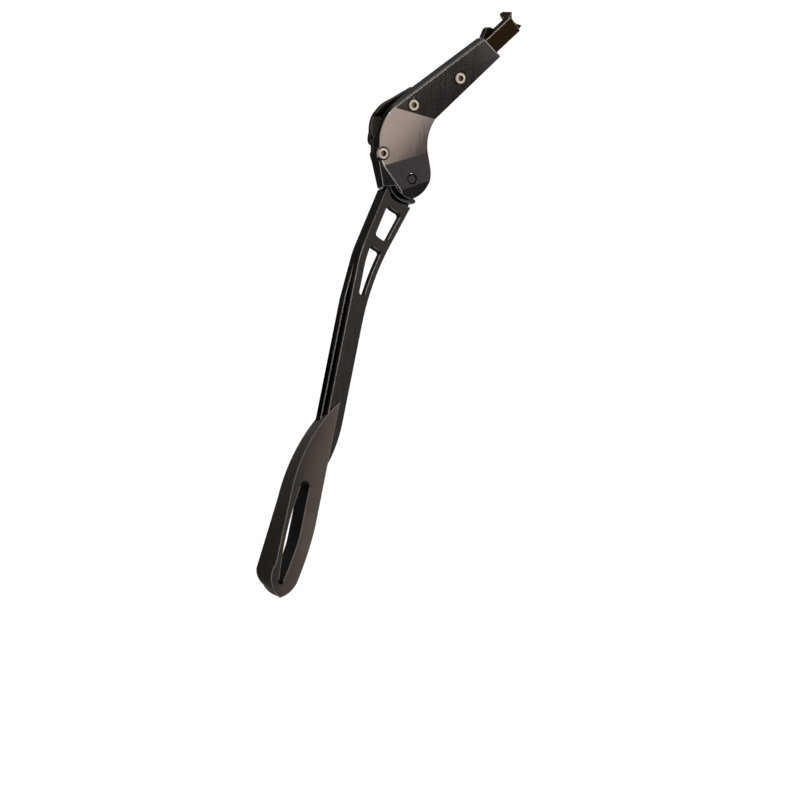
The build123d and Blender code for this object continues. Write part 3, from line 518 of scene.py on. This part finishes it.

# %% [markdown]
# ## Plastic and rubber
# The foot is moulded in a dark satin plastic with a very fine grain. The clamp is lined with rubber whose
# light brown colour is a painted highlight, and two thin plastic washers run beside the leg's hub. These are
# not metals, so their gloss is weak and their colour comes from below the surface. The real foot's front
# turns away a little at the left, and a painted shade across the foot, darker at the left, stands in for that
# turn.


# %% Moulded finishes
MOULD_PATCHES = 45.0
GRAIN_BUMP = 0.35
ACROSS_FOOT = (0.947, 0.0, -0.32)
FOOT_LEFT = -26 * MM
FOOT_RIGHT = -1 * MM


def along(tree, place, direction, start, end):
    """A mask that goes from 0 to 1 along a direction of the piece."""
    reach = add(tree, "ShaderNodeVectorMath", operation="DOT_PRODUCT")
    join(tree, place, reach.inputs[0])
    reach.inputs[1].default_value = direction
    ramp = add(tree, "ShaderNodeMapRange", From_Min=start, From_Max=end)
    join(tree, reach.outputs["Value"], ramp.inputs["Value"])
    return ramp.outputs[0]


def moulded(name, dark, light, worn, smooth, rough, grain, depth, rub=0.5, recess_shade=None, painted_shade=None,
            **shader):
    """A moulding with patches, a fine grain, rubbed edges, painted shade in recesses and perhaps painted
    shade on the foot's left.
    """
    made, tree, surface, place = finish_tree(name, **shader)
    patches = use(tree, mottle, place, Scale=MOULD_PATCHES)
    pebbles = use(tree, moulded_grain, place, Scale=grain)
    edges = use(tree, rubbed_edges, place, Amount=rub)
    body = blend_colour(tree, patches.outputs["Mask"], dark, light)
    if painted_shade:
        # The foot's left side is darkened here: painted shade for a turn of the face that the model lacks.
        body = blend_colour(tree, along(tree, place, ACROSS_FOOT, FOOT_LEFT, FOOT_RIGHT), painted_shade, body)
    skin = blend_colour(tree, edges.outputs["Mask"], body, worn)
    # Faces in a recess, such as the foot's slot, get a darker colour here: a painted shade.
    join(tree, paint_recess_shade(tree, skin, recess_shade or dark), surface.inputs["Base Color"])
    join(tree, between(tree, patches.outputs["Mask"], smooth, rough), surface.inputs["Roughness"])
    raise_bump(tree, surface, pebbles.outputs["Height"], GRAIN_BUMP, depth * MM)
    return made


# The foot's darker recess colour is painted shade in its slot, and the colour for its left side is painted
# shade too.
foot_plastic = moulded(
    "moulded_plastic", dark=(0.123, 0.101, 0.0875), light=(0.157, 0.129, 0.113),
    worn=(0.34, 0.295, 0.265), smooth=0.4, rough=0.5, grain=1500.0, depth=0.03, rub=0.8,
    recess_shade=(0.012, 0.0097, 0.0085), painted_shade=(0.045, 0.037, 0.032), IOR=1.045)
# The lining's light brown colour is a painted highlight for light caught inside the clamp's arch.
pad_rubber_painted_highlight = moulded(
    "lining_rubber", dark=(0.15, 0.124, 0.094), light=(0.2, 0.165, 0.127), worn=(0.2, 0.165, 0.127),
    smooth=0.6, rough=0.75, grain=1100.0, depth=0.06, Specular_IOR_Level=0.25)
washer_plastic = moulded(
    "washer_plastic", dark=(0.52, 0.5, 0.45), light=(0.6, 0.58, 0.53), worn=(0.6, 0.58, 0.53),
    smooth=0.35, rough=0.45, grain=1800.0, depth=0.01)
print("moulded:", foot_plastic.name, pad_rubber_painted_highlight.name, washer_plastic.name)

# %% [markdown]
# ## Rounding the edges
# A forging or a moulding never has a knife edge: its edges are tumbled or moulded to a small radius, and
# on black metal that radius shows as a thin bright line. A CAD node's mesh must stay as it is, so each
# large piece and each bolt gets a merged copy. The CAD mesh is made of triangles, so the copy's seams are
# closed and its flat faces are joined into single polygons before anything is rounded.


# %% Merged copies
MERGE = 0.002 * MM
FLAT_ANGLE = radians(0.6)
FLAT_DRIFT = 0.004


def merged_copy(source):
    """A copy of a CAD mesh with its seams closed and its flat faces marked and made single polygons."""
    plain = source.data.copy()
    flats = []
    for polygon in plain.polygons:
        normals = [plain.corner_normals[corner].vector for corner in polygon.loop_indices]
        flats.append(max((normal - polygon.normal).length for normal in normals) < FLAT_DRIFT)
    for label in [item.name for item in plain.attributes if item.name.startswith("custom_normal")]:
        plain.attributes.remove(plain.attributes[label])
    mesh = bmesh.new()
    mesh.from_mesh(plain)
    bpy.data.meshes.remove(plain)
    flat = mesh.faces.layers.int.new("flat")
    for face, state in zip(mesh.faces, flats):
        face[flat] = int(state)
    bmesh.ops.remove_doubles(mesh, verts=mesh.verts, dist=MERGE)
    bmesh.ops.dissolve_limit(mesh, angle_limit=FLAT_ANGLE, use_dissolve_boundaries=False,
                             verts=mesh.verts, edges=mesh.edges, delimit={"NORMAL"})
    return mesh, flat


print("vertices closer than", MERGE / MM, "mm become one")

# %% [markdown]
# ## Shading and recesses
# Flat facets must stay flat up to their rims, or the mirrored softbox would bend, so their rims are sharp
# while round faces are smooth. Rays from each face find the recesses: a face lies in one when it looks at
# another face of the piece straight ahead, or all round it.


# %% Sharp rims and marked recesses
SMOOTH_ANGLE = radians(34)
RIM_ANGLE = radians(8)
SKIN = 0.05 * MM
LOOKS = 8
LOOK_TILT = 3.0


def shade(mesh, flat):
    """Smooth faces whose shading breaks at sharp edges and round every flat facet."""
    limits = (SMOOTH_ANGLE, RIM_ANGLE, FLAT_ANGLE)
    for face in mesh.faces:
        face.smooth = True
    for edge in mesh.edges:
        facets = sum(face[flat] for face in edge.link_faces)
        edge.smooth = edge.calc_face_angle(pi) < limits[facets]


def mark_recesses(mesh, reach):
    """Marks the faces that look at other faces of the piece close by, straight ahead or all round."""
    recess = mesh.faces.layers.float.new("recess")
    walls = BVHTree.FromBMesh(mesh)
    for face in mesh.faces:
        start = face.calc_center_median() + face.normal * SKIN
        side = face.normal.orthogonal().normalized()
        tilted = face.normal + side * LOOK_TILT
        looks = [Matrix.Rotation(2 * pi * turn / LOOKS, 3, face.normal) @ tilted for turn in range(LOOKS)]
        ahead, *round_it = [walls.ray_cast(start, look, reach * MM)[0] is not None
                            for look in [face.normal, *looks]]
        face[recess] = float(ahead or all(round_it))


print("each face looks ahead and", LOOKS, "ways round")

# %% [markdown]
# ## Rounded pieces
# A bevel rounds every outer edge with real geometry. The new narrow faces are marked for the rubbed-edge
# effect, but not the short ones round small holes, which nothing rubs. Each copy rides on its node's body
# and stands for the node.


# %% Rounded copies of the large pieces and the bolts
EDGE_ANGLE = radians(24)
ROUND_STEPS = 3
RUB_LENGTH = 1.2 * MM


def show(mesh, name, material, body):
    """Turns a bmesh into a finished piece on a body."""
    shell = bpy.data.meshes.new(name)
    mesh.to_mesh(shell)
    mesh.free()
    shell.materials.append(material)
    piece = bpy.data.objects.new(name, shell)
    scene.collection.objects.link(piece)
    weighted = piece.modifiers.new("even_shading", "WEIGHTED_NORMAL")
    weighted.keep_sharp = True
    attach(piece, body)
    return piece


def rounded_copy(node, material, width, reach=0.0):
    """A merged copy of a CAD node with its outer edges rounded, which then stands for the node."""
    source = frame["nodes"][node]
    mesh, flat = merged_copy(source)
    mark = mesh.faces.layers.float.new("edge")
    outer = [edge for edge in mesh.edges
             if edge.is_manifold and edge.is_convex and edge.calc_face_angle() > EDGE_ANGLE]
    made = bmesh.ops.bevel(mesh, geom=outer, offset=width * MM, offset_type="OFFSET",
                           segments=ROUND_STEPS, profile=0.5, affect="EDGES", clamp_overlap=False,
                           loop_slide=True, material=-1)
    for face in made["faces"]:
        if face.calc_area() < face.calc_perimeter() * width * MM:
            face[mark] = float(face.calc_perimeter() > 2 * RUB_LENGTH)
            face[flat] = 0
    mark_recesses(mesh, reach)
    shade(mesh, flat)
    count = len(mesh.faces)
    piece = show(mesh, node + "_rounded", material, source["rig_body"])
    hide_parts(node)
    print(node, "edges rounded:", len(outer), "faces:", count)


rounded_copy("head_body", brushed_black, width=0.35)
rounded_copy("rear_jaw", jaw_brown, width=0.5)
rounded_copy("seatstay_hook", hook_brown, width=0.3)
rounded_copy("leg", satin_black, width=0.55)
rounded_copy("foot", foot_plastic, width=0.6, reach=14)
for bolt in ("clamp_bolt_lower", "clamp_bolt_middle", "clamp_bolt_upper"):
    rounded_copy(bolt, stainless, width=0.25, reach=6)

# %% [markdown]
# ## Pieces that keep their CAD shape
# The other small pieces are round or thin, and are right as they come from the CAD model. They only need
# a finish.

# %% Finishes on the small CAD pieces
small_pieces = {
    "pivot_pin": pin_steel, "foot_stop_pin": spring_steel, "detent_spring": spring_steel,
    "latch_spring": spring_steel, "pivot_bush": bronze, "thrust_washer_outer": washer_plastic,
    "thrust_washer_inner": washer_plastic, "clamp_pad_front": pad_rubber_painted_highlight, "clamp_pad_rear": pad_rubber_painted_highlight,
}
for node, material in small_pieces.items():
    mesh = frame["nodes"][node].data
    mesh.materials.clear()
    mesh.materials.append(material)
print("small pieces:", len(small_pieces))
